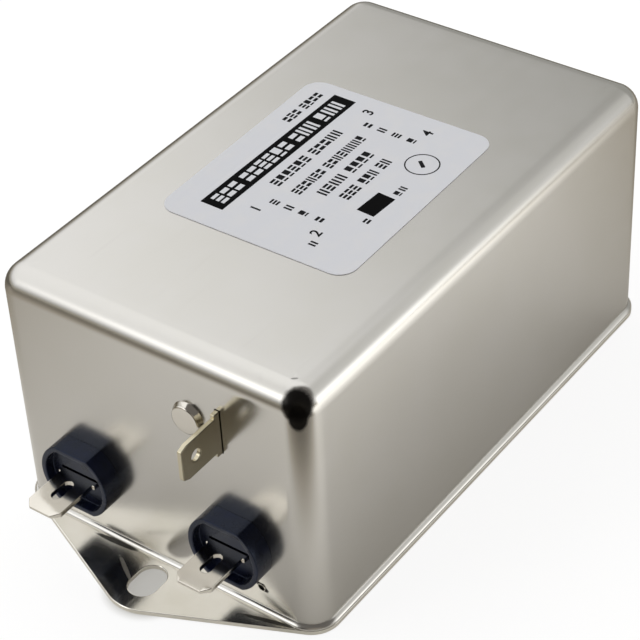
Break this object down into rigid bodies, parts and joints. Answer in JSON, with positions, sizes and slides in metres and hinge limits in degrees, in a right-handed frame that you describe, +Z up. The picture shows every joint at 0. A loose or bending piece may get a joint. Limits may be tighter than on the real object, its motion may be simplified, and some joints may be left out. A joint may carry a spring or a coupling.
{
  "type": "emi line filter",
  "caption": "Chassis-mount mains line filter: drawn steel can on an eared base plate, two insulated blade terminals at each end and an earth tab.",
  "frame": {"origin": "centre of the underside of the base plate, on the chassis face", "axes": "+X from the line end to the load end, +Z up out of the chassis, +Y towards the live terminals"},
  "size_m": [0.1164, 0.0582, 0.0454],
  "materials": {
    "plated_steel": "satin nickel-plated drawn steel sheet",
    "label_film": "semi-matt printed polyester label",
    "insulator_plastic": "satin blue-black moulded plastic",
    "tinned_brass": "bright tin plating on brass",
    "plated_rivet": "bright nickel plating",
    "tinned_wire": "tinned copper wire",
    "fibre_card": "plain insulating card",
    "board_laminate": "plain glass-epoxy laminate",
    "ferrite": "dark sintered ferrite",
    "divider_plastic": "plain moulded plastic",
    "copper_winding": "enamelled copper wire",
    "capacitor_box": "plain moulded box",
    "capacitor_disc": "dipped disc",
    "resistor_body": "plain lacquered body",
    "potting_resin": "plain cast resin"
  },
  "bodies": {
    "root": {"base_plate": "plated_steel", "case_can": "plated_steel", "rating_label": "label_film", "line_insulator_live": "insulator_plastic", "line_insulator_neutral": "insulator_plastic", "load_insulator_live": "insulator_plastic", "load_insulator_neutral": "insulator_plastic", "line_blade_live": "tinned_brass", "line_blade_neutral": "tinned_brass", "load_blade_live": "tinned_brass", "load_blade_neutral": "tinned_brass", "line_lead_live": "tinned_wire", "line_lead_neutral": "tinned_wire", "load_lead_live": "tinned_wire", "load_lead_neutral": "tinned_wire", "earth_tab": "tinned_brass", "earth_tab_rivet": "plated_rivet", "earth_lead": "tinned_wire", "insulating_sheet": "fibre_card", "circuit_board": "board_laminate", "line_choke_core": "ferrite", "load_choke_core": "ferrite", "line_choke_divider": "divider_plastic", "load_choke_divider": "divider_plastic", "line_choke_winding_live": "copper_winding", "line_choke_winding_neutral": "copper_winding", "load_choke_winding_live": "copper_winding", "load_choke_winding_neutral": "copper_winding", "x_capacitor_line": "capacitor_box", "x_capacitor_middle": "capacitor_box", "x_capacitor_load": "capacitor_box", "y_capacitor_live": "capacitor_disc", "y_capacitor_neutral": "capacitor_disc", "bleed_resistor": "resistor_body", "potting_resin": "potting_resin"}
  },
  "joints": []
}
